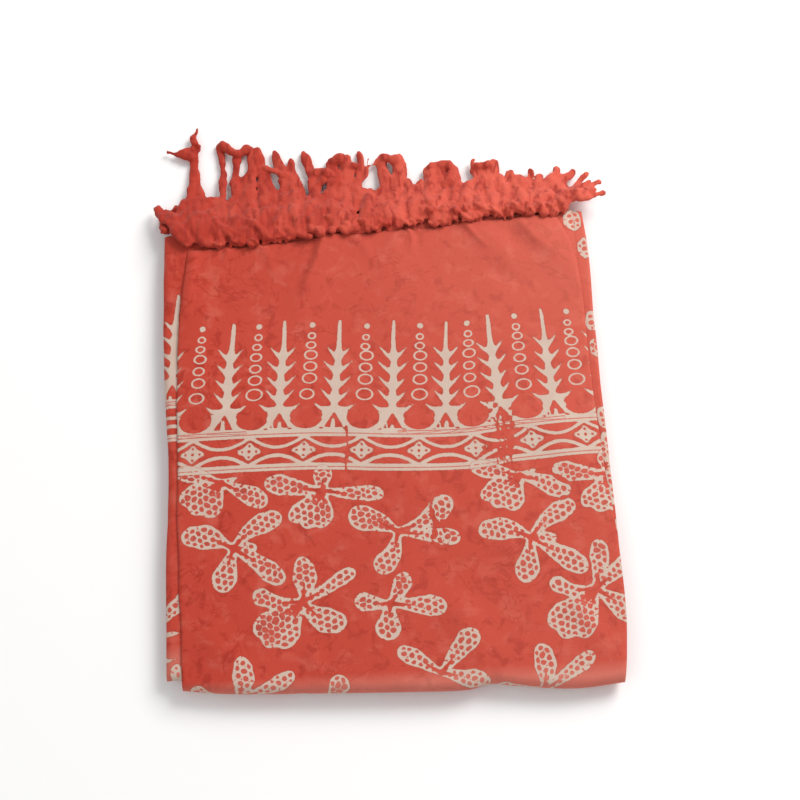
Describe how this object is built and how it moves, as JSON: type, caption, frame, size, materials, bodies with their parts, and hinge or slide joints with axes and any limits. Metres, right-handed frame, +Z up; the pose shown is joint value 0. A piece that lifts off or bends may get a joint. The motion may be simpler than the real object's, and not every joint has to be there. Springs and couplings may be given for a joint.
{
  "type": "folded sarong",
  "caption": "Printed cloth sarong with a knotted fringe, folded several times into a flat rectangular packet that lies on a surface, the fringe spread past one edge.",
  "frame": {"origin": "bottom centre of the whole, fringe included, on the surface that the folded cloth lies on", "axes": "+Z up through the layers, +Y towards the fringed edge, +X to the right seen from above with the fringe away from the viewer"},
  "size_m": [0.2866, 0.3721, 0.0196],
  "materials": {
    "printed_rayon": "soft matt plain weave, dyed coral red with an undyed cream stamped pattern",
    "folded_rayon": "soft matt plain weave, seen at the folded edges",
    "knotted_yarn": "soft twisted yarn, dyed coral red"
  },
  "bodies": {
    "root": {"top_leaf": "printed_rayon", "second_leaf": "printed_rayon", "right_leaf": "printed_rayon", "hidden_layers": "folded_rayon", "fringe_upper": "knotted_yarn", "fringe_lower": "knotted_yarn"}
  },
  "joints": []
}
